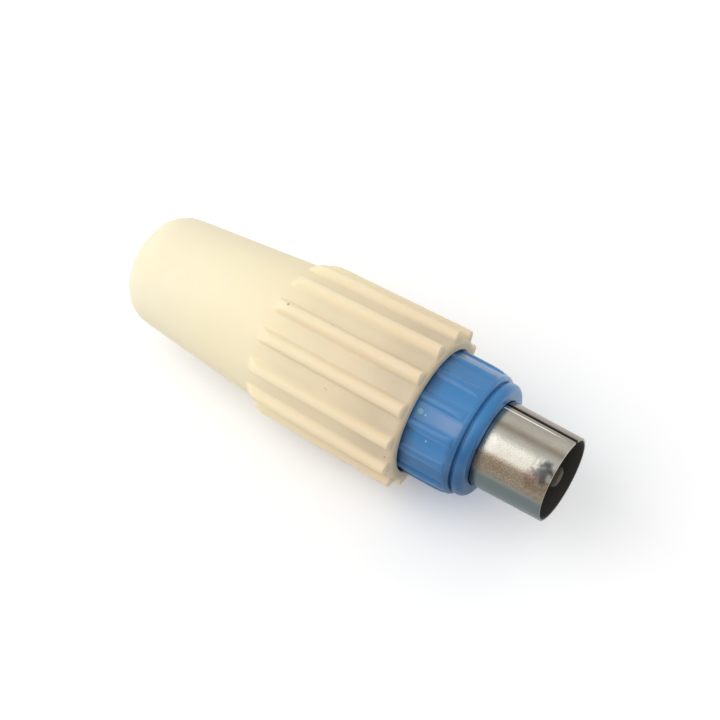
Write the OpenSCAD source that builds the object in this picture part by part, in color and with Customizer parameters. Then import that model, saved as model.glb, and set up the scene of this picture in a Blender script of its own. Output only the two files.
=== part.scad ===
// Coaxial aerial plug, lying on the ribs of its screw cap.
// The plug's axis is X and +X points out of the mating end.
// The origin is the centre of the outer contact's front edge.

/* [Outer contact] */
// Outside diameter of the outer contact
contact_d = 9.5; // [8.5:0.1:10.5]
// Thickness of the rolled sheet
contact_wall = 0.4; // [0.3:0.05:0.55]
// Length of the outer contact that stands out of the insert
contact_reach = 8.1; // [6:0.1:12]
// How much smaller the contact's radius is where the insert holds it
contact_step = 0.2; // [0.1:0.05:0.3]
// Width of the lip that is turned out behind the spigot
contact_lip = 0.8; // [0.5:0.1:1]
// Width of the open seam along the rolled tube
seam_gap = 0.3; // [0.2:0.05:0.6]
// Where the seam lies, in degrees from the top towards -Y
seam_angle = -32; // [-90:1:90]

/* [Insert] */
// Diameter of the nose ring around the outer contact
nose_d = 12.7; // [12:0.1:13]
// Length of the nose ring
nose_len = 1.1; // [0.9:0.05:1.5]
// Radius of the nose ring's front edge
nose_round = 0.75; // [0.4:0.05:0.8]
// Width of the groove behind the nose ring
groove_w = 0.3; // [0.2:0.05:0.6]
// Depth of the groove below the nose ring
groove_depth = 0.3; // [0.15:0.05:0.5]
// Diameter of the collar between its ribs
collar_d = 13.5; // [13.1:0.1:14.1]
// Length of the collar
collar_len = 8.6; // [7.5:0.1:12]
// Radius of the collar's front shoulder
shoulder_round = 0.45; // [0.3:0.05:0.8]
// Length of the plain ring between the shoulder and the collar's ribs
collar_ring = 0.25; // [0.1:0.05:2]
// Number of ribs round the collar
collar_ribs = 14; // [8:1:16]
// Width of a collar rib
collar_rib_w = 1.5; // [1:0.05:1.9]
// Height of a collar rib
collar_rib_h = 0.25; // [0.15:0.05:0.5]
// Length over which the collar's ribs rise at their front ends
collar_rib_rise = 1.2; // [0.5:0.1:2.5]
// Distance from the ribs' rear ends to the collar's rear face
collar_rib_end = 0.4; // [0.2:0.1:2]
// Where the first collar rib lies, in degrees from the top towards -Y
collar_rib_phase = 20.5; // [0:0.5:25]
// Root diameter of the spigot's thread
spigot_d = 11.4; // [11.2:0.1:11.8]
// Length of the threaded spigot
spigot_len = 8.4; // [7:0.1:12]
// Clearance round the contact in the insert, on the radius
neck_fit = 0.05; // [0.02:0.01:0.1]

/* [Screw cap] */
// Length of the insert that shows in front of the cap
insert_show = 7.1; // [5:0.1:8]
// Length of the cap
cap_len = 36.2; // [33:0.1:50]
// Length of the ribbed grip
grip_len = 18; // [13:0.1:20]
// Diameter between the ribs at the cap's front rim
rim_d = 16.4; // [16.3:0.1:18]
// Diameter between the ribs where the grip meets the cone
waist_d = 15.5; // [15.2:0.1:17]
// Diameter of the cone, carried on to the cap's rear end
tail_d = 11.8; // [11.4:0.1:13]
// Radius of the cap's rear end
tail_round = 3.9; // [2:0.1:4.2]
// Radius of the front rim's outer edge
rim_round = 0.55; // [0.3:0.05:0.7]
// Diameter of the hole for the cable
cable_d = 6.8; // [5:0.1:7.2]
// Length of the straight hole at the cap's rear end
cable_hole_len = 3.4; // [2.5:0.1:5]
// Wall of the cone, measured on the radius
cone_wall = 1.6; // [1.2:0.1:1.8]
// Number of ribs round the grip
cap_ribs = 14; // [8:1:18]
// Width of a grip rib
cap_rib_w = 1.6; // [1:0.05:2]
// Height of a grip rib
cap_rib_h = 0.95; // [0.5:0.05:1.2]
// How deep a grip rib's foot reaches into the cap's wall
rib_root = 0.35; // [0.2:0.05:0.6]
// Radius along a grip rib's edges
cap_rib_round = 0.7; // [0.2:0.05:0.75]
// Distance from the rim to the ribs' front ends
rib_start = 0.25; // [0.1:0.05:2]
// Length of the slope at the ribs' front ends
rib_front_slope = 0.15; // [0.1:0.05:0.8]
// Length of the slope at the ribs' rear ends
rib_rear_slope = 1.8; // [0.4:0.1:3]
// Clearance round the collar in the cap's mouth, on the radius
mouth_fit = 0.2; // [0.1:0.05:0.3]
// Gap between the collar's rear face and its seat in the cap
seat_gap = 0.2; // [0.1:0.05:0.4]
// Radial room that the two screw threads share
thread_room = 0.65; // [0.5:0.05:0.75]

/* [Cable grip] */
// Thickness of the cable grip's sheet
clamp_wall = 0.5; // [0.4:0.05:0.7]
// Length of the cable grip
clamp_len = 10.5; // [8:0.1:12]
// Length of the closed ring at its front
clamp_ring = 2.2; // [1.5:0.1:3]
// Number of fingers
clamp_fingers = 6; // [4:1:8]
// Width of the slots between the fingers
clamp_slot = 1.2; // [0.8:0.1:1.6]
// How far the claws reach inwards
claw_depth = 1; // [0.6:0.1:1.2]
// Clearance between the cable grip and the cap, on the radius
clamp_fit = 0.25; // [0.15:0.05:0.4]
// Gap between the cable grip and the contact's lip
clamp_gap = 0.1; // [0.05:0.05:0.3]

/* [Centre contact] */
// Diameter of the centre pin
pin_d = 2.35; // [2:0.05:2.6]
// How far the pin's tip lies behind the outer contact's edge
pin_set_back = 0.3; // [0:0.1:2]
// Radius of the pin's tip
pin_tip = 0.6; // [0.3:0.1:0.9]
// How much smaller the pin's radius is inside its carrier
pin_step = 0.2; // [0.05:0.01:0.3]
// Depth from the outer contact's step to the carrier's face
carrier_depth = 0.9; // [0.5:0.1:2]
// Length of the carrier in front of the terminal
carrier_web = 6; // [4:0.5:8]
// Diameter of the terminal
terminal_d = 4; // [3.4:0.1:4.6]
// Length of the terminal
terminal_len = 7.5; // [6:0.1:8]
// Diameter of the hole for the cable's core
core_hole_d = 1.3; // [1:0.1:1.6]
// Diameter of the terminal screw
screw_d = 1.8; // [1.6:0.1:2.2]
// Length of the terminal screw
screw_len = 2.9; // [2.5:0.1:3.2]
// Width of the screw's slot
screw_slot = 0.4; // [0.3:0.05:0.6]
// Clearance of the close fits of the centre contact, on the radius
pin_fit = 0.05; // [0.02:0.01:0.1]

/* [Hidden] */
$fn = 96;
past = 1;

// Radii
contact_r = contact_d / 2;
neck_r = contact_r - contact_step;
bore_r = neck_r + neck_fit;
nose_r = nose_d / 2;
collar_r = collar_d / 2;
collar_top_r = collar_r + collar_rib_h;
spigot_r = spigot_d / 2;
mouth_r = collar_top_r + mouth_fit;
thread_r = spigot_r + thread_room;
rim_r = rim_d / 2;
waist_r = waist_d / 2;
tail_r = tail_d / 2;
cable_r = cable_d / 2;
carrier_r = neck_r - contact_wall - pin_fit;
pin_r = pin_d / 2;
terminal_r = terminal_d / 2;
screw_r = screw_d / 2;

// Places along the axis, from the mating end to the cable end
nose_x = -contact_reach;
groove_x = nose_x - nose_len;
collar_x = groove_x - groove_w;
collar_rib_x = collar_x - shoulder_round - collar_ring;
spigot_x = collar_x - collar_len;
lip_x = spigot_x - spigot_len;
rim_x = nose_x - insert_show;
seat_x = spigot_x - seat_gap;
waist_x = rim_x - grip_len;
tail_x = rim_x - cap_len;
clamp_x = lip_x - contact_wall - clamp_gap;
clamp_end_x = clamp_x - clamp_len;
carrier_x = nose_x - carrier_depth;
terminal_x = carrier_x - carrier_web;
terminal_end_x = terminal_x - terminal_len;
screw_x = terminal_x - terminal_len / 2;

// The cap's cone outside, and its hollow inside
cone_slope = (waist_r - tail_r) / (waist_x - tail_x);
cone_angle = atan(cone_slope);
tail_mid_x = tail_x + tail_round;
tail_mid_r = cone_r(tail_mid_x) - tail_round / cos(cone_angle);
base_slope = (rim_r - waist_r) / grip_len;
hollow_x = clamp_x - clamp_ring / 2;
funnel_x = tail_x + cable_hole_len + cone_wall;
funnel_r = cone_r(funnel_x) - cone_wall;
hollow_slope = (thread_r - funnel_r) / (hollow_x - funnel_x);

function cone_r(x) = tail_r + cone_slope * (x - tail_x);
function base_r(x) = waist_r + base_slope * (x - waist_x);
function hollow_r(x) = x > hollow_x ? thread_r : thread_r - hollow_slope * (hollow_x - x);

// Revolves an outline of [radius, x] about the plug's axis
module lathe() {
    rotate([0, 90, 0]) rotate_extrude() children();
}

// A round corner of such an outline, in front of its middle (way 1) or behind it (way -1)
module corner(mid_r, mid_x, radius, way) {
    intersection() {
        translate([mid_r, mid_x]) circle(radius);
        translate([0, way > 0 ? mid_x : mid_x - radius]) square([mid_r + radius, radius]);
    }
}

// A round rod along the axis
module rod(radius, from_x, to_x) {
    translate([from_x, 0, 0]) rotate([0, 90, 0]) cylinder(h = to_x - from_x, r = radius);
}

// Turns a piece round the axis, in degrees from the top towards -Y
module turned(angle) {
    rotate([angle, 0, 0]) children();
}

// A bar along the axis with round upper edges, its top at a given radius
module rib_bar(width, foot, top, edge, from_x, length) {
    translate([from_x, 0, 0]) rotate([90, 0, 90]) linear_extrude(length) {
        translate([-width / 2, foot]) square([width, top - foot - edge]);
        translate([-width / 2 + edge, foot]) square([width - 2 * edge, top - foot]);
        for (side = [-1, 1])
            translate([side * (width / 2 - edge), top - edge]) circle(edge);
    }
}

// Outline of the cap between its ribs: grip, cone and round rear end
module cap_outline() {
    tangent_r = tail_mid_r + tail_round * cos(cone_angle);
    tangent_x = tail_mid_x - tail_round * sin(cone_angle);
    polygon([
        [0, rim_x], [rim_r - rim_round, rim_x], [rim_r - rim_round, rim_x - rim_round],
        [base_r(rim_x - rim_round), rim_x - rim_round], [waist_r, waist_x],
        [tangent_r, tangent_x], [tail_mid_r, tail_mid_x], [tail_mid_r, tail_x], [0, tail_x]
    ]);
    corner(base_r(rim_x - rim_round) - rim_round, rim_x - rim_round, rim_round, 1);
    corner(tail_mid_r, tail_mid_x, tail_round, -1);
}

// Outline of the hollow: mouth, threaded bore, cone, funnel and cable hole
module cap_hollow() {
    polygon([
        [0, rim_x + past], [mouth_r, rim_x + past], [mouth_r, seat_x], [thread_r, seat_x],
        [thread_r, hollow_x], [funnel_r, funnel_x], [cable_r, funnel_x - cone_wall],
        [cable_r, tail_x - past], [0, tail_x - past]
    ]);
}

// Space that the grip's ribs may fill, with their sloping ends
module rib_space() {
    front_foot_x = rim_x - rib_start;
    front_x = front_foot_x - rib_front_slope;
    rear_x = waist_x + rib_rear_slope;
    polygon([
        [0, front_foot_x], [base_r(front_foot_x), front_foot_x],
        [base_r(front_x) + cap_rib_h, front_x], [base_r(rear_x) + cap_rib_h, rear_x],
        [waist_r, waist_x], [0, waist_x]
    ]);
}

module cap_rib() {
    foot = waist_r - rib_root;
    translate([waist_x, 0, waist_r])
        rotate([0, -atan(base_slope), 0])
            translate([0, 0, -waist_r])
                rib_bar(cap_rib_w, foot, waist_r + cap_rib_h, cap_rib_round, -past, grip_len + past);
}

module grip_cap() {
    color("cornsilk") difference() {
        union() {
            lathe() cap_outline();
            intersection() {
                lathe() rib_space();
                for (i = [0 : cap_ribs - 1])
                    turned(180 + (i + 0.5) * 360 / cap_ribs) cap_rib();
            }
        }
        lathe() cap_hollow();
    }
}

// Outline of the nose ring and the collar between its ribs
module insert_outline() {
    polygon([
        [0, nose_x], [nose_r - nose_round, nose_x], [nose_r - nose_round, nose_x - nose_round],
        [nose_r, nose_x - nose_round], [nose_r, groove_x], [nose_r - groove_depth, groove_x],
        [nose_r - groove_depth, collar_x], [collar_r - shoulder_round, collar_x],
        [collar_r - shoulder_round, collar_x - shoulder_round],
        [collar_r, collar_x - shoulder_round], [collar_r, spigot_x], [0, spigot_x]
    ]);
    corner(nose_r - nose_round, nose_x - nose_round, nose_round, 1);
    corner(collar_r - shoulder_round, collar_x - shoulder_round, shoulder_round, 1);
}

// Rib with a round top that stands out of the collar and slopes down at its front end
module collar_rib() {
    half = collar_rib_w / 2;
    bow = collar_top_r - sqrt(collar_r * collar_r - half * half);
    bow_r = (half * half + bow * bow) / (2 * bow);
    slope = atan(collar_rib_h / collar_rib_rise);
    intersection() {
        translate([spigot_x + collar_rib_end, 0, 0]) rotate([90, 0, 90])
            linear_extrude(collar_len) intersection() {
                translate([0, collar_top_r - bow_r]) circle(bow_r);
                translate([-bow_r, collar_r - collar_rib_h]) square(2 * bow_r);
            }
        translate([collar_rib_x, 0, collar_r]) rotate([0, slope, 0])
            translate([-2 * collar_len, -bow_r, -collar_r])
                cube([2 * collar_len + collar_ring, 2 * bow_r, collar_r]);
    }
}

module insert_body() {
    mouth_flare = contact_step + neck_fit;
    color("steelblue") difference() {
        union() {
            lathe() insert_outline();
            rod(spigot_r, lip_x, collar_x);
            for (i = [0 : collar_ribs - 1])
                turned(collar_rib_phase + i * 360 / collar_ribs) collar_rib();
        }
        rod(bore_r, lip_x - past, nose_x + past);
        lathe() polygon([
            [0, nose_x + past], [bore_r + mouth_flare + past, nose_x + past],
            [bore_r + mouth_flare, nose_x], [bore_r, nose_x - mouth_flare], [0, nose_x - mouth_flare]
        ]);
    }
}

// Rolled sheet tube, necked down in the insert and turned out behind it
module outer_contact() {
    color("silver") difference() {
        union() {
            rod(contact_r, nose_x, 0);
            rod(neck_r, lip_x - contact_wall, nose_x);
            rod(neck_r + contact_lip, lip_x - contact_wall, lip_x);
        }
        rod(contact_r - contact_wall, nose_x + contact_wall, past);
        rod(neck_r - contact_wall, lip_x - contact_wall - past, nose_x + contact_wall + past);
        turned(seam_angle)
            translate([lip_x - contact_wall - past, -seam_gap / 2, 0])
                cube([past - lip_x + contact_wall + past, seam_gap, contact_r + past]);
    }
}

// Insulator that holds the pin in the tube
module pin_carrier() {
    color("white") difference() {
        rod(carrier_r, terminal_end_x, carrier_x);
        rod(pin_r - pin_step + pin_fit, terminal_end_x, carrier_x + past);
        rod(terminal_r + pin_fit, terminal_end_x - past, terminal_x);
        translate([screw_x, 0, 0]) cylinder(h = carrier_r + past, r = screw_r + 2 * pin_fit);
    }
}

// Outline of the pin in front of its carrier, with a round tip
module pin_outline() {
    tip_r = pin_r - pin_tip;
    tip_x = -pin_set_back - pin_tip;
    polygon([
        [0, carrier_x], [pin_r, carrier_x], [pin_r, tip_x], [tip_r, tip_x],
        [tip_r, -pin_set_back], [0, -pin_set_back]
    ]);
    corner(tip_r, tip_x, pin_tip, 1);
}

// Pin with a terminal barrel for the cable's core
module centre_pin() {
    color("darkkhaki") difference() {
        union() {
            lathe() pin_outline();
            rod(pin_r - pin_step, terminal_x, carrier_x);
            rod(terminal_r, terminal_end_x, terminal_x);
        }
        rod(core_hole_d / 2, terminal_end_x - past, screw_x + screw_d);
        translate([screw_x, 0, 0]) cylinder(h = terminal_r + past, r = screw_r + pin_fit);
    }
}

// Slotted grub screw that clamps the core
module terminal_screw() {
    foot = core_hole_d / 2;
    color("gray") translate([screw_x, 0, foot]) difference() {
        cylinder(h = screw_len, r = screw_r);
        translate([-screw_slot / 2, -screw_r - past, screw_len - screw_slot])
            cube([screw_slot, 2 * screw_r + 2 * past, screw_slot + past]);
    }
}

// Clawed sheet collet that the cap squeezes on to the cable
module cable_grip() {
    front_r = hollow_r(clamp_x) - clamp_fit;
    bend_r = hollow_r(hollow_x) - clamp_fit;
    rear_r = hollow_r(clamp_end_x) - clamp_fit;
    color("lightgray") difference() {
        lathe() polygon([
            [front_r - clamp_wall, clamp_x], [front_r, clamp_x], [bend_r, hollow_x],
            [rear_r, clamp_end_x], [rear_r - clamp_wall - claw_depth, clamp_end_x],
            [rear_r - clamp_wall - claw_depth, clamp_end_x + clamp_wall],
            [rear_r - clamp_wall, clamp_end_x + clamp_wall], [bend_r - clamp_wall, hollow_x]
        ]);
        for (i = [0 : clamp_fingers - 1])
            turned(i * 360 / clamp_fingers)
                translate([clamp_end_x - past, -clamp_slot / 2, 0])
                    cube([clamp_len - clamp_ring + past, clamp_slot, thread_r]);
    }
}

grip_cap();
insert_body();
outer_contact();
pin_carrier();
centre_pin();
terminal_screw();
cable_grip();
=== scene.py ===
# Coaxial aerial plug: the looks of each piece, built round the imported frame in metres
import bmesh
import bpy
import math
from mathutils import Matrix, Vector


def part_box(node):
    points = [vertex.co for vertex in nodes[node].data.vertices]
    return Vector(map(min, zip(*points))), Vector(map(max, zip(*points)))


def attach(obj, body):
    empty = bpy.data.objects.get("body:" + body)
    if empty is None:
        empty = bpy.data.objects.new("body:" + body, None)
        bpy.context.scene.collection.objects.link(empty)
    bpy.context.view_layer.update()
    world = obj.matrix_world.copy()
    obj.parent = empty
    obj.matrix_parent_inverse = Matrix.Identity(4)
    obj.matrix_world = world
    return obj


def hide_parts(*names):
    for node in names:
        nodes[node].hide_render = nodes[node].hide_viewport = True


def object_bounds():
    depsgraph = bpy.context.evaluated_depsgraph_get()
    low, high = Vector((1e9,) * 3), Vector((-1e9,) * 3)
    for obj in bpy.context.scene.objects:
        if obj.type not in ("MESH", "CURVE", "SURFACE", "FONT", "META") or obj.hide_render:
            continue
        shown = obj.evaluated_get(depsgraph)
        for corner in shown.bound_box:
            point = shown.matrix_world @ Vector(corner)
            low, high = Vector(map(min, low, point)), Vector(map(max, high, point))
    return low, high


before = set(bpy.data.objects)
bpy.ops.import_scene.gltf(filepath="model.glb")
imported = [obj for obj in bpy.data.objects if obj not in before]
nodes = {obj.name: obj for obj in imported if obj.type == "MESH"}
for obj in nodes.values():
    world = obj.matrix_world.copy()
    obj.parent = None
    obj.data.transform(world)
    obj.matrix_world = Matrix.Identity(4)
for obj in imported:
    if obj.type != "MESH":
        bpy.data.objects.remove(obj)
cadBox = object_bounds()
mm = 0.001
tiny = 1e-6  # metres within which two points count as one
print("frame loaded:", ", ".join(sorted(nodes)))


# Helpers for modelling

def deselectAll():
    if bpy.context.object and bpy.context.object.mode != "OBJECT":
        bpy.ops.object.mode_set(mode="OBJECT")
    bpy.ops.object.select_all(action="DESELECT")


def makeActive(piece):
    deselectAll()
    piece.select_set(True)
    bpy.context.view_layer.objects.active = piece


def arcOutline(midX, midR, radius, fromDeg, toDeg, steps):
    # points (x, r) of a round corner, 0 degrees points out of the mating end and 90 away from the axis
    points = []
    for i in range(steps + 1):
        angle = math.radians(fromDeg + (toDeg - fromDeg) * i / steps)
        points.append((midX + radius * math.cos(angle), midR + radius * math.sin(angle)))
    return points


def mergeAndTurnOut():
    bpy.ops.mesh.select_all(action="SELECT")
    bpy.ops.mesh.remove_doubles(threshold=tiny)
    bpy.ops.mesh.normals_make_consistent(inside=False)


def turnPiece(name, outline, segments, turnDeg=0.0):
    # draws one ring and extrudes it from point to point of the outline; stays in edit mode
    deselectAll()
    startX, startR = outline[0]
    bpy.ops.mesh.primitive_circle_add(vertices=segments, radius=startR, location=(startX, 0, 0),
                                      rotation=(0, math.pi / 2, 0))
    piece = bpy.context.object
    piece.name = name
    bpy.ops.object.transform_apply(location=True, rotation=True, scale=True)
    bpy.ops.object.mode_set(mode="EDIT")
    bpy.ops.mesh.select_all(action="SELECT")
    # the ring's first point goes to the angle asked for
    mesh = bmesh.from_edit_mesh(piece.data)
    first = min(mesh.verts, key=lambda v: math.hypot(v.co.y, v.co.z - startR))
    startTurn = math.atan2(-first.co.y, first.co.z)
    bmesh.ops.rotate(mesh, verts=mesh.verts, cent=(0, 0, 0),
                     matrix=Matrix.Rotation(math.radians(turnDeg) - startTurn, 3, "X"))
    for (x, r) in outline[1:]:
        bpy.ops.mesh.extrude_region_move(TRANSFORM_OT_translate={"value": (x - startX, 0, 0)})
        bpy.ops.transform.resize(value=(1, r / startR, r / startR), center_override=(x, 0, 0))
        startX, startR = x, r
    mergeAndTurnOut()
    return piece


def roundAngle(point):
    # degrees round the axis, from the top towards the near side
    return math.degrees(math.atan2(-point.y, point.z))


def offMiddle(angle, count, phase):
    # degrees to the middle of the nearest of the evenly spaced ribs
    pitch = 360.0 / count
    return abs((angle - phase + pitch / 2) % pitch - pitch / 2)


def turnOutwards(piece):
    # an open wall has no inside to go by, so its front ring says which way it faces
    mesh = bmesh.from_edit_mesh(piece.data)
    front = max(mesh.faces, key=lambda f: f.calc_center_median().x)
    middle = front.calc_center_median()
    if front.normal.y * middle.y + front.normal.z * middle.z < 0:
        bpy.ops.mesh.select_all(action="SELECT")
        bpy.ops.mesh.flip_normals()


def selectWhere(piece, kind, wanted):
    # selects the verts or faces whose place passes the test
    bpy.ops.mesh.select_all(action="DESELECT")
    mesh = bmesh.from_edit_mesh(piece.data)
    for part in getattr(mesh, kind):
        if wanted(part.co if kind == "verts" else part.calc_center_median()):
            part.select = True
    mesh.select_flush_mode()
    bmesh.update_edit_mesh(piece.data)


def raiseRibs(piece, form, rows):
    # pulls each rib's columns outwards, row by row; a row is its x, its radius and its share of the height
    columnDeg = 360.0 / form["segments"]
    nearDeg = 0.1
    for x, radius, share in rows:
        for column, height in enumerate(form["ribSection"]):
            def onColumn(c):
                if abs(c.x - x) > tiny or abs(math.hypot(c.y, c.z) - radius) > tiny:
                    return False
                off = offMiddle(roundAngle(c), form["ribs"], form["ribPhase"])
                return abs(off - column * columnDeg) < nearDeg
            selectWhere(piece, "verts", onColumn)
            grow = 1 + min(height, share * form["ribSection"][0]) / radius
            bpy.ops.transform.resize(value=(1, grow, grow), center_override=(x, 0, 0))


def applyModifier(piece, kind, **settings):
    makeActive(piece)
    modifier = piece.modifiers.new(kind.title(), kind)
    for key, value in settings.items():
        setattr(modifier, key, value)
    bpy.ops.object.modifier_apply(modifier=modifier.name)


def smoothPiece(piece, angleDeg):
    makeActive(piece)
    bpy.ops.object.shade_smooth_by_angle(angle=math.radians(angleDeg))


def dress(piece, material):
    piece.data.materials.clear()
    piece.data.materials.append(material)


# Screw thread of the cap and the insert

screwForm = {
    "pitch": 1.5 * mm,
    "crest": 0.3,  # share of the pitch
    "flank": 0.2,
    "runOut": 0.25,  # turns over which it fades at each end
    "reach": 1e-5,  # metres that a ring may lie off the wall
}


def threadRings(form, startX):
    # places along the axis where a threaded wall has a ring
    step = screwForm["pitch"] / form["threadSteps"]
    return [startX + i * step for i in range(form["threadTurns"] * form["threadSteps"] + 1)]


def cutThread(piece, form, startX, radius):
    # moves the rings of a turned wall in or out into a right-hand thread that runs out at both ends
    mesh = bmesh.from_edit_mesh(piece.data)
    turns = form["threadTurns"]
    length = turns * screwForm["pitch"]
    for vert in mesh.verts:
        along = (vert.co.x - startX) / length
        offWall = abs(math.hypot(vert.co.y, vert.co.z) - radius)
        if offWall > screwForm["reach"] or not 0 <= along <= 1:
            continue
        turn = (vert.co.x - startX) / screwForm["pitch"] + roundAngle(vert.co) / 360
        off = abs((turn + form["threadShift"]) % 1 - 0.5) - screwForm["crest"] / 2
        height = min(1.0, max(0.0, 1 - off / screwForm["flank"]))
        ends = min(1.0, min(along, 1 - along) * turns / screwForm["runOut"])
        grow = 1 + form["threadDepth"] * height * ends / radius
        vert.co.y *= grow
        vert.co.z *= grow
    bmesh.update_edit_mesh(piece.data)


# Shader wiring: sums are written as Python, every other node comes from Finish.node

class Wire:
    def __init__(self, finish, socket):
        self.finish = finish
        self.socket = socket

    def other(self, key):
        # another output of the same node
        return Wire(self.finish, self.socket.node.outputs[key])

    def maths(self, operation, first, second):
        return self.finish.node("ShaderNodeMath", {"operation": operation}, {0: first, 1: second})

    def __add__(self, other):
        return self.maths("ADD", self, other)

    __radd__ = __add__

    def __mul__(self, other):
        return self.maths("MULTIPLY", self, other)

    __rmul__ = __mul__

    def __sub__(self, other):
        return self.maths("SUBTRACT", self, other)

    def __rsub__(self, other):
        return self.maths("SUBTRACT", other, self)

    def __truediv__(self, other):
        return self.maths("DIVIDE", self, other)

    def __rtruediv__(self, other):
        return self.maths("DIVIDE", other, self)

    def __pow__(self, other):
        return self.maths("POWER", self, other)

    def __rpow__(self, other):
        return self.maths("POWER", other, self)


def colour(red, green, blue):
    # a colour written as it looks on a screen, 0 to 255
    def linear(c):
        c = c / 255.0
        return c / 12.92 if c <= 0.04045 else ((c + 0.055) / 1.055) ** 2.4
    return (linear(red), linear(green), linear(blue), 1.0)


def onPlug(back, around, radius):
    # a place on the plug from millimetres behind the mouth, degrees from the top and radius
    turn = math.radians(around)
    return (-back * mm, -math.sin(turn) * radius * mm, math.cos(turn) * radius * mm)


class Finish:
    def __init__(self, name, owner=None):
        self.owner = owner or bpy.data.materials.new(name)
        self.owner.use_nodes = True
        self.tree = self.owner.node_tree
        self.tree.nodes.clear()

    def node(self, kind, settings=None, inputs=None, out=0):
        made = self.tree.nodes.new(kind)
        for key, value in (settings or {}).items():
            if key == "stops":
                self.setStops(made.color_ramp, value)
            else:
                setattr(made, key, value)
        for key, value in (inputs or {}).items():
            if isinstance(value, Wire):
                self.tree.links.new(value.socket, made.inputs[key])
            else:
                made.inputs[key].default_value = value
        return Wire(self, made.outputs[out]) if made.outputs else None

    def setStops(self, ramp, stops):
        while len(ramp.elements) > len(stops):
            ramp.elements.remove(ramp.elements[-1])
        while len(ramp.elements) < len(stops):
            ramp.elements.new(1.0)
        for element, (place, tone) in zip(ramp.elements, stops):
            element.position = place
            element.color = (*tone, 1.0)

    def place(self):
        return self.node("ShaderNodeTexCoord", out="Object")

    def noise(self, scale, detail=3.0, roughness=0.5):
        return self.node("ShaderNodeTexNoise", {}, {
            "Vector": self.place(), "Scale": scale, "Detail": detail, "Roughness": roughness})

    def between(self, value, low, high):
        # 0 below the low limit, 1 above the high one
        return self.node("ShaderNodeMapRange", {"interpolation_type": "SMOOTHSTEP"},
                         {"Value": value, "From Min": low, "From Max": high})

    def mix(self, factor, first, second):
        return self.node("ShaderNodeMix", {"data_type": "RGBA"}, {0: factor, 6: first, 7: second}, 2)

    def cloudy(self, noise, tones):
        return self.mix(self.between(noise, 0.35, 0.7), colour(*tones[0]), colour(*tones[1]))

    def split(self, vector):
        x = self.node("ShaderNodeSeparateXYZ", {}, {0: vector})
        return x, x.other(1), x.other(2)

    def around(self, y, z):
        # angle round the axis from the top towards the near side, in radians
        return self.node("ShaderNodeMath", {"operation": "ARCTAN2"}, {0: 0 - y, 1: z})

    def roundAndAlong(self):
        # degrees round the axis, millimetres along it and millimetres away from it
        x, y, z = self.split(self.place())
        return self.around(y, z) * (180 / math.pi), x / mm, ((y * y + z * z) ** 0.5) / mm

    def band(self, value, middle, half, soft):
        # 1 near the middle, fading to 0
        off = self.node("ShaderNodeMath", {"operation": "ABSOLUTE"}, {0: value - middle})
        return 1 - self.between(off, half - soft, half + soft)

    def spot(self, place, size, ragged=None):
        # 1 within a small ball round a place, fading to 0; a noise makes its edge ragged
        away = self.node("ShaderNodeVectorMath", {"operation": "DISTANCE"},
                         {0: self.place(), 1: place}, "Value")
        if ragged:
            return 1 - self.between(away + (ragged - 0.5) * (2 * size), 0.3 * size, size)
        return 1 - self.between(away, 0.6 * size, size)

    def mark(self, base, mask, row):
        # lays a row's tone over the base where the mask is
        return self.mix(mask * row["share"], base, colour(*row["tone"]))

    def spots(self, base, rows, ragged=None):
        # a row is millimetres behind the mouth, degrees from the top, radius, size, share and tone
        for back, around, radius, size, share, tone in rows:
            blot = self.spot(onPlug(back, around, radius), size * mm, ragged)
            base = self.mark(base, blot, {"share": share, "tone": tone})
        return base

    def bump(self, height, strength):
        return self.node("ShaderNodeBump", {},
                         {"Strength": strength, "Distance": 0.1 * mm, "Height": height})

    def plastic(self, inputs):
        return self.done(self.node("ShaderNodeBsdfPrincipled", {}, inputs))

    def done(self, shader, kind="ShaderNodeOutputMaterial"):
        self.node(kind, {}, {"Surface": shader})
        return self.owner


# Ivory screw cap

capForm = {
    "segments": 252,
    "ribs": 14,
    "ribPhase": 12.857,
    "ribSection": (0.95 * mm, 0.92 * mm, 0.82 * mm, 0.55 * mm),  # heights from a rib's middle to its side
    "ribFoot": 0.25 * mm,
    "ribFrontSlope": 0.15 * mm,
    "ribFrontShare": 0.985,
    "ribHolds": (0.1, 0.35, 0.65, 0.9),  # rings from the front to the run-out
    "ribRear": ((1.7, 1.0), (1.3, 0.93), (0.9, 0.76),
                (0.45, 0.48), (0.12, 0.17)),  # mm to the waist and the share of the height left
    "gripLength": 18.0 * mm,
    "rimRadius": 8.2 * mm,
    "waistRadius": 7.75 * mm,
    "tailRadius": 5.9 * mm,
    "length": 36.2 * mm,
    "coneRings": (0.04, 0.3, 0.7),  # rings from the waist to the round tail
    "tailRound": 3.9 * mm,
    "tailSteps": 9,
    "rimRound": 0.55 * mm,
    "rimSteps": 4,
    "mouthRadius": 7.05 * mm,
    "crisp": 0.08 * mm,
    "cableRadius": 3.4 * mm,
    "cableHole": 3.4 * mm,
    "coneWall": 1.6 * mm,
    "hollowStart": 12.9 * mm,
    "seatDepth": 3.1 * mm,
    "threadRadius": 6.35 * mm,
    "threadDepth": -0.5 * mm,
    "threadStart": 0.9 * mm,
    "threadShift": 0.5,
    "threadTurns": 4,
    "threadSteps": 4,
    "smoothDeg": 60,
}


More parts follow.
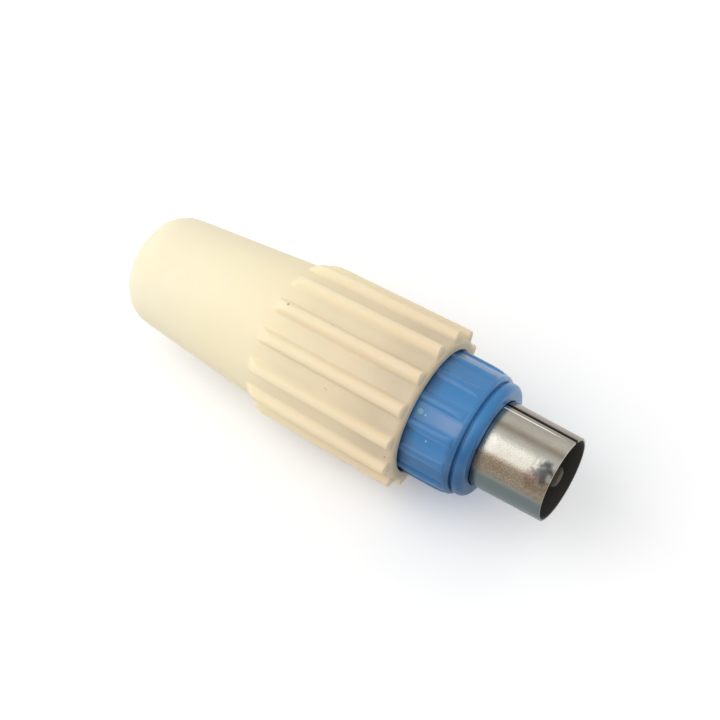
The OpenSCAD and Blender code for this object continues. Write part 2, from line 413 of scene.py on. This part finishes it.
def capOutline(form):
    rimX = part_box("grip_cap")[1].x
    waistX = rimX - form["gripLength"]
    tailX = rimX - form["length"]
    waistR, tailR, tailRound = form["waistRadius"], form["tailRadius"], form["tailRound"]
    crisp, rimRound, mouthR = form["crisp"], form["rimRound"], form["mouthRadius"]
    gripSlope = (form["rimRadius"] - waistR) / form["gripLength"]
    edgeX = rimX - rimRound
    edgeR = waistR + gripSlope * (edgeX - waistX)

    def gripR(x):
        if x > edgeX:
            return edgeR - rimRound + math.sqrt(rimRound ** 2 - (x - edgeX) ** 2)
        return waistR + gripSlope * (x - waistX)

    # mouth, rounded rim and ribbed grip
    footX = rimX - form["ribFoot"]
    footDeg = math.degrees(math.acos((footX - edgeX) / rimRound))
    points = [(rimX - crisp, mouthR), (rimX, mouthR), (rimX, mouthR + crisp)]
    points += arcOutline(edgeX, edgeR - rimRound, rimRound, 0, footDeg, form["rimSteps"])
    frontX = footX - form["ribFrontSlope"]
    rearX = waistX + form["ribRear"][0][0] * mm
    rows = [(frontX, form["ribFrontShare"]), (frontX - crisp, 1.0), (frontX - 5 * crisp, 1.0)]
    rows += [(frontX + (rearX - frontX) * share, 1.0) for share in form["ribHolds"]]
    rows += [(waistX + far * mm, share) for far, share in form["ribRear"]]
    rows = [(x, gripR(x), share) for x, share in rows]
    points += [(x, r) for x, r, share in rows] + [(waistX, waistR)]

    # cone and round tail
    slope = (waistR - tailR) / (waistX - tailX)
    cone = math.atan(slope)
    midX = tailX + tailRound
    midR = tailR + slope * (midX - tailX) - tailRound / math.cos(cone)
    coneEnd = midX - tailRound * math.sin(cone)
    for share in form["coneRings"]:
        x = waistX + (coneEnd - waistX) * share
        points.append((x, waistR + slope * (x - waistX)))
    holeR = form["cableRadius"]
    holeDeg = 180 - math.degrees(math.asin((holeR - midR) / tailRound))
    points += arcOutline(midX, midR, tailRound, 90 + math.degrees(cone), holeDeg, form["tailSteps"])

    # cable hole, hollow and threaded bore
    holeX = tailX + form["cableHole"]
    funnelX = holeX + form["coneWall"]
    funnelR = tailR + slope * (funnelX - tailX) - form["coneWall"]
    points += [(points[-1][0] + 2 * crisp, holeR), (holeX, holeR), (funnelX, funnelR)]
    hollowX = rimX - form["hollowStart"]
    seatX = rimX - form["seatDepth"]
    threadX, threadR = hollowX + form["threadStart"], form["threadRadius"]
    points += [(hollowX - crisp, threadR - crisp / 4), (hollowX, threadR)]
    points += [(x, threadR) for x in threadRings(form, threadX)]
    points += [(seatX, threadR), (seatX, mouthR), points[0]]
    return points, rows, threadX


def makeCap(form):
    outline, rows, threadX = capOutline(form)
    cap = turnPiece("gripCapIvory", outline, form["segments"])
    raiseRibs(cap, form, rows)
    mergeAndTurnOut()
    cutThread(cap, form, threadX, form["threadRadius"])
    applyModifier(cap, "SUBSURF", levels=1, render_levels=1)
    smoothPiece(cap, form["smoothDeg"])
    print("grip cap:", len(rows), "rows raised into ribs,", len(cap.data.polygons), "faces")
    return cap


ivoryLook = {
    "tones": ((249, 239, 211), (251, 242, 216)),
    "cloudScale": 140.0,
    # painted shade: the ivory gets darker and warmer from the tail towards the rim, where less light falls
    "shadeTowardsRim": ({"at": (-49.0, -33.0), "share": 0.6, "tone": (247, 232, 196)},  # mm along the axis
                  {"at": (-36.0, -16.0), "share": 0.9, "tone": (236, 218, 188)}),
    "waist": -33.2,
    "gripSlope": 0.025,
    "valley": (7.72, 8.25),  # mm, heights over which the dirt and the painted shade between the ribs fade
    "dirtAndShadeAlong": ((-34.0, -28.0, 0.35), (-24.0, -16.5, 0.65)),  # mm from, mm to, how much
    "dirtAndShadeScale": 420.0,
    "dirtAndShadeLeast": 0.4,
    "dirtAndShadePatchy": 0.5,
    "dirtAndShade": {"share": 0.8, "tone": (190, 177, 156)},
    "speckTone": (130, 94, 54),
    "specks": ((31.65, 11.1, 8.6, 0.2, 0.6), (26.64, 7.8, 8.15, 0.2, 0.6),
               (15.99, 79.9, 8.18, 0.18, 0.5), (24.34, 51.2, 7.98, 0.09, 0.35),
               (24.2, 51.6, 7.98, 0.09, 0.35), (24.06, 52.0, 7.98, 0.09, 0.35)),
    "grainScale": 2600.0,
    "grainHeight": 0.06,
    "roughness": (0.46, 0.1),  # least, and what the grain adds
    "softness": 0.35,
    "softDepth": 0.9 * mm,
    "softTint": (1.0, 0.6, 0.3),
}


def ivoryFinish(look):
    f = Finish("ivoryPlastic")
    _, along, radius = f.roundAndAlong()
    base = f.cloudy(f.noise(look["cloudScale"], 2.0), look["tones"])
    # painted shade, darker towards the rim
    for row in look["shadeTowardsRim"]:
        base = f.mark(base, f.between(along, *row["at"]), row)
    # handling dirt settles between the ribs and near the rim; the same mask paints shade into the valleys
    # between the ribs
    height = radius - (along - look["waist"]) * look["gripSlope"]
    floor = 1 - f.between(height, *look["valley"])
    inGrip = sum(much * f.between(along, start, end) for start, end, much in look["dirtAndShadeAlong"])
    patches = look["dirtAndShadeLeast"] + look["dirtAndShadePatchy"] * f.noise(look["dirtAndShadeScale"], 4.0, 0.6)
    base = f.mark(base, floor * inGrip * patches, look["dirtAndShade"])
    base = f.spots(base, [(*row, look["speckTone"]) for row in look["specks"]])
    grain = f.noise(look["grainScale"], 3.0, 0.6)
    least, grainy = look["roughness"]
    return f.plastic({"Base Color": base, "Roughness": least + grainy * grain,
                      "Normal": f.bump(grain, look["grainHeight"]),
                      "Subsurface Weight": look["softness"], "Subsurface Radius": look["softTint"],
                      "Subsurface Scale": look["softDepth"]})


# Blue insert

insertForm = {
    "segments": 280,
    "ribs": 14,
    "ribPhase": 20.4,
    "ribSection": (0.25 * mm, 0.236 * mm, 0.194 * mm, 0.117 * mm),
    "ribFront": ((10.06, 0.0), (10.16, 0.24), (10.4, 0.45),
                 (10.8, 0.68), (11.3, 0.88), (12.0, 1.0)),  # mm behind the mouth, share of the height
    "ribHolds": (0.3, 0.6, 0.98),
    "ribEnd": 0.4 * mm,
    "boreRadius": 4.6 * mm,
    "flare": 0.25 * mm,
    "noseRadius": 6.35 * mm,
    "noseLength": 1.1 * mm,
    "noseRound": 0.75 * mm,
    "noseSteps": 8,
    "groove": 0.3 * mm,
    "grooveDepth": 0.3 * mm,
    "collarRadius": 6.75 * mm,
    "collarLength": 8.6 * mm,
    "shoulderRound": 0.45 * mm,
    "shoulderSteps": 6,
    "spigotRadius": 5.7 * mm,
    "crisp": 0.06 * mm,
    "threadDepth": 0.5 * mm,
    "threadStart": 0.4 * mm,
    "threadShift": 0.0,
    "threadTurns": 5,
    "threadSteps": 6,
    "smoothDeg": 25,
}


def makeInsert(form):
    low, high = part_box("insert_body")
    noseX, lipX = high.x, low.x
    grooveX = noseX - form["noseLength"]
    collarX = grooveX - form["groove"]
    spigotX = collarX - form["collarLength"]
    noseR, collarR, crisp = form["noseRadius"], form["collarRadius"], form["crisp"]
    boreR, spigotR = form["boreRadius"], form["spigotRadius"]
    grooveR = noseR - form["grooveDepth"]

    # flared bore, rounded nose ring and groove
    flareR, noseRound = boreR + form["flare"], form["noseRound"]
    points = [(noseX - form["flare"], boreR), (noseX - crisp, flareR - crisp),
              (noseX, flareR), (noseX, flareR + crisp)]
    points += arcOutline(noseX - noseRound, noseR - noseRound, noseRound, 0, 90, form["noseSteps"])
    points += [(grooveX + crisp, noseR), (grooveX, noseR - crisp), (grooveX, grooveR), (collarX, grooveR)]

    # ribbed collar
    shoulder = form["shoulderRound"]
    points += arcOutline(collarX - shoulder, collarR - shoulder, shoulder, 0, 90, form["shoulderSteps"])
    endX = spigotX + form["ribEnd"]
    rows = [(-back * mm, collarR, share) for back, share in form["ribFront"]]
    fullX = rows[-1][0]
    rows += [(fullX + (endX - fullX) * share, collarR, 1.0) for share in form["ribHolds"]]
    points += [(x, r) for x, r, share in rows] + [(endX, collarR)]
    points += [(spigotX + crisp, collarR), (spigotX, collarR - crisp), (spigotX, spigotR)]

    # threaded spigot
    threadX = lipX + form["threadStart"]
    points += [(x, spigotR) for x in reversed(threadRings(form, threadX))]
    points += [(lipX, spigotR), (lipX, boreR), points[0]]

    insert = turnPiece("insertBlue", points, form["segments"], form["ribPhase"])
    raiseRibs(insert, form, rows)
    mergeAndTurnOut()
    cutThread(insert, form, threadX, spigotR)
    smoothPiece(insert, form["smoothDeg"])
    print("insert:", len(rows), "rows raised into ribs,", len(insert.data.polygons), "faces")
    return insert


# places along the axis are in mm, places round it in degrees from the top
blueLook = {
    "tones": ((52, 124, 187), (57, 129, 191)),
    "cloudScale": 300.0,
    "underside": (125.0, 170.0),  # where the near side's painted shade and its loss of gloss fade out
    # partly a rubbed patch, partly a painted sheen of the soft box on the land that faces it
    "rubbedAndSheen": {"around": (33.4, 5.6, 1.0), "rear": (-15.0, -11.0), "front": (-10.0, -9.6),
               "share": 0.3, "tone": (150, 162, 196)},
    # painted shade: the lower near side of the blue darker
    "lowerSideShade": {"around": (60.0, 84.0), "share": 0.5, "tone": (32, 88, 138)},
    # painted shade on the lower half of the nose ring, whose front faces turn away from the light
    "nose": {"along": (-10.7, -9.9), "around": (15.0, 60.0), "share": 0.5, "tone": (22, 70, 118)},
    # partly grime, partly the painted shadow of the cap's rim on the collar next to it
    "grimeAndRimShadow": {"along": (-15.1, 0.8, 0.8), "scale": 260.0, "patches": (0.1, 0.6), "most": 0.75,
              "wiped": (34.0, 12.0, 8.0), "wipedOff": 0.4, "share": 1.0, "tone": (33, 70, 112)},
    "spots": ((14.48, 33.6, 6.75, 0.36, 0.4, (140, 205, 200)),
              (13.84, 34.6, 6.75, 0.13, 0.4, (215, 230, 240)),
              (12.71, 54.9, 6.75, 0.14, 0.4, (215, 230, 240))),
    "grainScale": 3200.0,
    "grainHeight": 0.06,
    "roughness": (0.3, 0.1),
    "specular": 0.3,
    "gloss": {"most": 0.75, "around": (64.0, 86.0), "along": (-9.6, -9.2), "noseLoss": 0.5, "blur": 0.3},
}


def blueFinish(look):
    f = Finish("bluePlastic")
    angle, along, _ = f.roundAndAlong()
    nearSide = 1 - f.between(angle, *look["underside"])
    base = f.cloudy(f.noise(look["cloudScale"], 2.0), look["tones"])
    # painted sheen and rubbed patch on the land facing the light
    row = look["rubbedAndSheen"]
    rubbedAndSheen = f.band(angle, *row["around"]) * f.between(along, *row["rear"])
    base = f.mark(base, rubbedAndSheen * (1 - f.between(along, *row["front"])), row)
    # painted shade, darker on the lower near side
    row = look["lowerSideShade"]
    base = f.mark(base, f.between(angle, *row["around"]) * nearSide, row)
    # painted shade on the lower nose ring
    row = look["nose"]
    nose = f.between(along, *row["along"]) * f.between(angle, *row["around"])
    base = f.mark(base, nose * nearSide, row)
    # grime and painted shadow of the cap's rim
    row = look["grimeAndRimShadow"]
    grimeAndRimShadow = f.band(along, *row["along"]) * f.between(f.noise(row["scale"], 3.0, 0.6), *row["patches"])
    left = row["most"] - row["wipedOff"] * f.band(angle, *row["wiped"])
    base = f.mark(base, grimeAndRimShadow * left, row)
    base = f.spots(base, look["spots"])
    grain = f.noise(look["grainScale"], 3.0, 0.6)
    row = look["gloss"]
    gloss = row["most"] * (1 - f.between(angle, *row["around"]) * nearSide)
    gloss = gloss * (1 - row["noseLoss"] * f.between(along, *row["along"]))
    least, grainy = look["roughness"]
    return f.plastic({"Base Color": base, "Roughness": least + grainy * grain,
                      "Specular IOR Level": look["specular"],
                      "Coat Weight": gloss, "Coat Roughness": row["blur"],
                      "Normal": f.bump(grain, look["grainHeight"])})


# Rolled outer contact

tubeForm = {
    "segments": 100,
    "radius": 4.75 * mm,
    "mouthRadius": 4.68 * mm,
    "mouthRings": 5,
    "neckRadius": 4.55 * mm,
    "wall": 0.4 * mm,
    "lipRadius": 5.35 * mm,
    "seamAngle": -32.0,
    "edge": 0.07 * mm,
    "edgeSteps": 2,
    "smoothDeg": 40,
}


def makeTube(form):
    low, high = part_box("outer_contact")
    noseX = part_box("insert_body")[1].x
    lipX = low.x + form["wall"]
    points = []
    for i in range(form["mouthRings"] + 1):  # closes in a little towards the mouth
        share = i / form["mouthRings"]
        points.append((high.x + (noseX - high.x) * share,
                       form["mouthRadius"] + (form["radius"] - form["mouthRadius"]) * share))
    points += [(noseX, form["neckRadius"]), (lipX, form["neckRadius"]), (lipX, form["lipRadius"])]
    half = 180.0 / form["segments"]
    tube = turnPiece("outerContactTube", points, form["segments"], form["seamAngle"] + half)
    selectWhere(tube, "faces", lambda c: abs(roundAngle(c) - form["seamAngle"]) < half)
    bpy.ops.mesh.delete(type="FACE")
    turnOutwards(tube)
    applyModifier(tube, "SOLIDIFY", thickness=form["wall"], offset=-1, use_even_offset=True)
    applyModifier(tube, "BEVEL", width=form["edge"], segments=form["edgeSteps"], limit_method="ANGLE",
                  angle_limit=math.radians(form["smoothDeg"]), use_clamp_overlap=True)
    smoothPiece(tube, form["smoothDeg"])
    print("outer contact:", len(tube.data.polygons), "faces")
    return tube


# bands round the tube are their middle, half width and softness in degrees from the top
tubeLook = {
    "tones": ((180, 177, 168), (190, 187, 179)),
    "smearScale": 220.0,
    "pitScale": 5200.0,
    "pitHeight": 0.35,
    "pits": {"at": (0.5, 0.7), "share": 0.3, "tone": (140, 134, 122)},
    # brown band: partly wear with bare specks, partly a painted reflection of a brown part of the room
    "wornAndReflected": {"at": (55.5, 14.0, 5.0), "most": 0.85, "share": 1.0, "tone": (128, 102, 70)},
    "sparkle": {"scale": 7500.0, "at": (0.38, 0.66), "bare": 0.5},
    # painted reflection: a patchy dark brown band high on the tube
    "reflectedStreak": {"at": (2.0, 3.6, 4.0), "patches": (0.3, 0.6), "share": 0.5, "tone": (150, 126, 100)},
    # painted shade on the lower side: a bluish grey darkening in place of a shaded floor's reflection; it
    # also makes the metal rougher
    "dullAndShaded": {"at": (60.0, 76.0), "fade": (125.0, 165.0), "share": 0.9, "tone": (90, 104, 105)},
    # painted reflection: the far side darker and browner
    "farSideReflection": {"at": (-48.0, 13.0, 4.0), "share": 0.75, "tone": (122, 106, 96)},
    "smudgeScale": 900.0,
    "smudges": ((1.2, 31.0, 4.69, 1.5, 0.85, (52, 56, 66)),
                (2.0, 45.0, 4.69, 1.4, 0.45, (112, 84, 76))),
    "seam": {"at": (tubeForm["seamAngle"], 3.4, 0.8), "share": 0.9, "tone": (48, 38, 34)},
    # painted glint: a white line beside the seam, fading towards the mouth
    "paintedSeamGlint": {"at": (-22.8, 1.1, 0.5), "fade": (-3.4, -0.3), "share": 1.0, "tone": (255, 253, 250)},
    "paintedSeamGlintMetal": 0.2,
    # painted shade: the inside of the tube dark, rough and not metallic
    "inside": {"at": (4.42, 4.5), "share": 0.95, "tone": (34, 32, 29)},  # mm, radii
    "roughness": {"least": 0.16, "smear": 0.1, "wornAndReflected": 0.12, "dullAndShaded": 0.1, "inside": 0.6, "seam": 0.3},
}


def nickelFinish(look):
    f = Finish("platedSheet")
    angle, along, radius = f.roundAndAlong()
    pits = f.noise(look["pitScale"], 4.0, 0.7)
    smear = f.noise(look["smearScale"], 3.0)
    base = f.cloudy(smear, look["tones"])
    base = f.mark(base, f.between(pits, *look["pits"]["at"]), look["pits"])
    # brown band, partly wear and partly painted reflection
    wornAndReflected = f.band(angle, *look["wornAndReflected"]["at"])
    row = look["sparkle"]
    sparkle = f.between(f.noise(row["scale"], 3.0, 0.7), *row["at"])
    base = f.mark(base, wornAndReflected * (look["wornAndReflected"]["most"] - row["bare"] * sparkle), look["wornAndReflected"])
    # painted reflection of a dark band
    row = look["reflectedStreak"]
    base = f.mark(base, f.band(angle, *row["at"]) * f.between(smear, *row["patches"]), row)
    # painted shade on the lower side, and a rougher finish there
    row = look["dullAndShaded"]
    dullAndShaded = f.between(angle, *row["at"]) * (1 - f.between(angle, *row["fade"]))
    base = f.mark(base, dullAndShaded, row)
    # painted reflection on the far side
    base = f.mark(base, f.band(angle, *look["farSideReflection"]["at"]), look["farSideReflection"])
    base = f.spots(base, look["smudges"], f.noise(look["smudgeScale"], 3.0, 0.6))
    seam = f.band(angle, *look["seam"]["at"])
    base = f.mark(base, seam, look["seam"])
    # painted glint beside the seam
    row = look["paintedSeamGlint"]
    paintedSeamGlint = f.band(angle, *row["at"]) * (1 - f.between(along, *row["fade"]))
    base = f.mark(base, paintedSeamGlint, row)
    # painted shade inside the tube
    inside = 1 - f.between(radius, *look["inside"]["at"])
    base = f.mark(base, inside, look["inside"])
    row = look["roughness"]
    rough = row["least"] + row["smear"] * smear + row["wornAndReflected"] * wornAndReflected + row["dullAndShaded"] * dullAndShaded
    rough = rough + row["inside"] * inside + row["seam"] * seam
    metal = (1 - (1 - look["paintedSeamGlintMetal"]) * paintedSeamGlint) * (1 - inside)
    return f.plastic({"Base Color": base, "Metallic": metal, "Roughness": rough,
                      "Normal": f.bump(pits * (0.5 + wornAndReflected), look["pitHeight"])})


# Pieces that keep the shape of their solids

plainLooks = {
    # the pin's dark tone is partly its own dull bronze and partly painted shade of the deep mouth it sits
    # in
    "centre_pin": ("pinMetal", (74, 70, 54), 1.0, 0.5),  # name, tone, metallic, roughness
    "pin_carrier": ("paleInsulator", (214, 210, 196), 0.0, 0.45),
    "terminal_screw": ("screwSteel", (170, 172, 174), 1.0, 0.35),
    "cable_grip": ("clampTin", (186, 184, 178), 1.0, 0.32),
}


def plainFinish(name, tone, metallic, roughness):
    f = Finish(name)
    grain = f.noise(1800.0, 3.0)
    pale = colour(*tone)
    darker = tuple(0.85 * c for c in pale[:3]) + (1.0,)
    return f.plastic({"Base Color": f.mix(grain, pale, darker), "Metallic": metallic,
                      "Roughness": roughness + 0.12 * grain, "Normal": f.bump(grain, 0.08)})


cap = makeCap(capForm)
insert = makeInsert(insertForm)
tube = makeTube(tubeForm)
for piece, node, body, slot, material in (
        (cap, "grip_cap", "cap", "ivory_plastic", ivoryFinish(ivoryLook)),
        (insert, "insert_body", "plug", "blue_plastic", blueFinish(blueLook)),
        (tube, "outer_contact", "plug", "plated_sheet", nickelFinish(tubeLook))):
    dress(piece, material)
    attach(piece, body)
    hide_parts(node)
for node, look in plainLooks.items():
    dress(nodes[node], plainFinish(*look))
print("pieces dressed")


# Camera, placed so that the plug's axis and mouth fall where the photograph has them

shot = {
    "mouthPixel": (562.25, 480.05),
    "pictureSize": 720,
    "pixelsPerMetre": 9970.0,  # at the mouth
    "distance": 0.211,
    "slopeDeg": 28.155,  # how far the axis runs downhill across the picture
    "forwardDeg": 18.35,  # how far the mouth leans towards the lens
    "facingDeg": 28.5,  # the side of the plug that faces the lens, from the top
    "sensor": 36.0,
    "clipStart": 0.01,
}


def lensTurn(shot):
    # turns lens directions (right, up, back) into the plug's frame
    slope, forward, facing = (math.radians(shot[k]) for k in ("slopeDeg", "forwardDeg", "facingDeg"))
    across, down = math.cos(slope), math.sin(slope)
    flat, lean = math.cos(forward), math.sin(forward)
    axis = Vector((flat * across, -flat * down, lean))
    near = Vector((-lean * across, lean * down, flat))
    below = Vector((-down, -across, 0))
    top, side = math.cos(facing), math.sin(facing)
    plugAxes = Matrix(((1, 0, 0), (0, -side, top), (0, -top, -side)))
    return plugAxes.transposed() @ Matrix((axis, near, below))


def placeCamera(shot):
    turn = lensTurn(shot)
    focal = shot["pixelsPerMetre"] * shot["distance"]
    half = shot["pictureSize"] / 2
    right = (shot["mouthPixel"][0] - half) / focal * shot["distance"]
    up = (half - shot["mouthPixel"][1]) / focal * shot["distance"]
    spot = -(turn @ Vector((right, up, -shot["distance"])))
    deselectAll()
    bpy.ops.object.camera_add()
    camera = bpy.context.object
    camera.matrix_world = Matrix.Translation(spot) @ turn.to_4x4()
    camera.data.sensor_width = shot["sensor"]
    camera.data.lens = focal / shot["pictureSize"] * shot["sensor"]
    camera.data.clip_start = shot["clipStart"]
    bpy.context.scene.camera = camera
    print("camera at", [round(c, 4) for c in spot], "lens", round(camera.data.lens, 1))


# Soft studio light: one wide soft box above the near side, and a plain room round it

keyLamp = {
    "roundDeg": 36.0,
    "distance": 0.28,
    "backwards": 0.21,
    "across": 0.36,
    "along": 0.42,
    "radiance": 1.24,
    "tint": (1.0, 0.985, 0.96),
}

# brightness and warmth of the room by degrees round the plug's axis, 0 at the top, 90 on the near side
roomStops = [(-90, (0.46, 0.43, 0.40)), (-72, (0.76, 0.73, 0.69)), (-46, (1.0, 0.97, 0.92)),
             (-20, (0.50, 0.48, 0.44)), (-5, (0.92, 0.93, 0.91)), (10, (0.92, 0.93, 0.91)),
             (60, (0.52, 0.49, 0.45)), (80, (0.46, 0.44, 0.40)), (100, (0.42, 0.41, 0.39))]

floorForm = {
    "size": 60.0,
    "seen": 1.0,  # as the lens and the metal see it
    "tone": 0.68,  # as it lights the plug
    "glow": (0.10, 0.115, 0.15),
    "roughness": 0.9,
    "specular": 0.1,
}


def placeKey(lamp, middle):
    around = math.radians(lamp["roundDeg"])
    spot = Vector((-lamp["backwards"], -math.sin(around) * lamp["distance"],
                   math.cos(around) * lamp["distance"]))
    back = (spot - middle).normalized()
    side = (Vector((1, 0, 0)) - back * back.x).normalized()
    facing = Matrix((side, back.cross(side), back)).transposed()
    deselectAll()
    bpy.ops.object.light_add(type="AREA", location=spot)
    light = bpy.context.object
    light.name = "softBox"
    light.matrix_world = Matrix.Translation(spot) @ facing.to_4x4()
    light.data.shape = "RECTANGLE"
    light.data.size = lamp["along"]
    light.data.size_y = lamp["across"]
    light.data.energy = lamp["radiance"] * math.pi * lamp["along"] * lamp["across"]
    light.data.color = lamp["tint"]


def paintRoom(stops):
    world = bpy.context.scene.world or bpy.data.worlds.new("World")
    bpy.context.scene.world = world
    f = Finish("room", world)
    _, y, z = f.split(f.node("ShaderNodeTexCoord", out="Generated"))
    turn = f.around(y, z) / (2 * math.pi) + 0.5
    ramp = f.node("ShaderNodeValToRGB", {"stops": [(0.5 + deg / 360, tone) for deg, tone in stops]},
                  {0: turn})
    f.done(f.node("ShaderNodeBackground", {}, {"Color": ramp, "Strength": 1.0}), "ShaderNodeOutputWorld")


def makeFloor(form, middle):
    deselectAll()
    bpy.ops.mesh.primitive_plane_add(size=form["size"], location=(middle.x, middle.y, cadBox[0].z))
    floor = bpy.context.object
    floor.name = "paleFloor"
    f = Finish("paleFloor")
    tone, seen = form["tone"], form["seen"]
    rays = f.node("ShaderNodeLightPath", out="Is Camera Ray")
    looked = rays + rays.other("Is Glossy Ray") + rays.other("Is Transmission Ray")
    pale = f.mix(looked, (tone, tone, tone, 1.0), (seen, seen, seen, 1.0))
    glow = f.mix(looked, (0.0, 0.0, 0.0, 1.0), (*form["glow"], 1.0))
    dress(floor, f.plastic({"Base Color": pale, "Roughness": form["roughness"],
                            "Specular IOR Level": form["specular"],
                            "Emission Color": glow, "Emission Strength": 1.0}))


plugMiddle = (cadBox[0] + cadBox[1]) / 2
placeCamera(shot)
placeKey(keyLamp, plugMiddle)
paintRoom(roomStops)
makeFloor(floorForm, plugMiddle)
bpy.context.scene.view_settings.view_transform = "Standard"
print("stage set")
